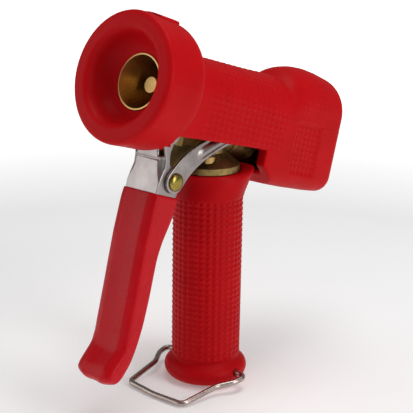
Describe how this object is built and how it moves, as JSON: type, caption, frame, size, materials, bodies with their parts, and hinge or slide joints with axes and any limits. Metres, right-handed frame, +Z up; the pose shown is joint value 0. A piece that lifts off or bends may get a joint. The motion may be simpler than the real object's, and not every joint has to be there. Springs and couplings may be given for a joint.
{
  "type": "hose nozzle",
  "caption": "Pistol-grip wash-down hose nozzle with a squeeze lever, link-driven valve stem, rubber-covered brass body and a wire hanging loop at the hose inlet.",
  "frame": {"origin": "centre of the hose inlet mouth, on the handle axis, at the foot face", "axes": "+Z up along the handle axis, -Y the way the nozzle sprays (16.9 degrees above level), X across the lever"},
  "size_m": [0.065, 0.1824, 0.2036],
  "materials": {
    "red_rubber": "matte moulded",
    "red_grip_rubber": "matte moulded, raised grip pattern",
    "red_vinyl": "satin dipped vinyl",
    "forged_brass": "forged, dull",
    "turned_brass": "turned",
    "rivet_brass": "polished by wear",
    "stainless": "satin",
    "stainless_wire": "drawn wire",
    "black_rubber": "matte"
  },
  "bodies": {
    "gun": {"brass_body": "forged_brass", "handle_tube": "turned_brass", "hose_washer": "black_rubber", "inlet_strainer": "stainless", "grip_sleeve": "red_grip_rubber", "rubber_cover": "red_rubber", "nozzle_cone": "turned_brass", "nozzle_o_ring": "black_rubber", "gland_packing": "black_rubber", "gland_follower": "turned_brass", "gland_nut": "turned_brass", "spring_seat": "stainless", "return_spring": "stainless", "neck_screws": "turned_brass", "lever_pin": "stainless", "lever_pin_clips": "stainless"},
    "lever": {"lever_channel": "stainless", "lever_sleeve": "red_vinyl", "lever_rivets": "rivet_brass"},
    "links": {"link_arm_left": "stainless", "link_arm_right": "stainless"},
    "valve": {"valve_stem": "stainless", "valve_head": "turned_brass", "valve_washer": "black_rubber", "washer_nut": "turned_brass", "stem_tip_disc": "turned_brass", "crosshead": "forged_brass", "crosshead_pins": "stainless", "crosshead_clips": "stainless", "stem_nut": "stainless"},
    "bail": {"wire_bail": "stainless_wire"}
  },
  "joints": [
    {"name": "lever_squeeze", "type": "hinge", "parent": "gun", "child": "lever", "pos_m": [0, -0.03959, 0.14365], "axis": [1, 0, 0], "range_deg": [0, 18], "stiffness_Nm_per_rad": 4, "springref_deg": -20.05},
    {"name": "valve_slide", "type": "slide", "parent": "gun", "child": "valve", "axis": [0, 0.9569, -0.2905], "range_m": [0, 0.0088], "deforming": ["return_spring"]},
    {"name": "link_swing", "type": "hinge", "parent": "lever", "child": "links", "pos_m": [0, -0.0387, 0.1193], "axis": [1, 0, 0], "range_deg": [-20.6, 0]},
    {"name": "bail_swing", "type": "hinge", "parent": "gun", "child": "bail", "pos_m": [0, 0, 0.00726], "axis": [1, 0, 0], "range_deg": [0, 215]}
  ],
  "couplings": [
    {"joint": "valve_slide", "follows": "lever_squeeze", "m_per_rad": 0.027691},
    {"joint": "link_swing", "follows": "lever_squeeze", "ratio": -1.1366}
  ]
}
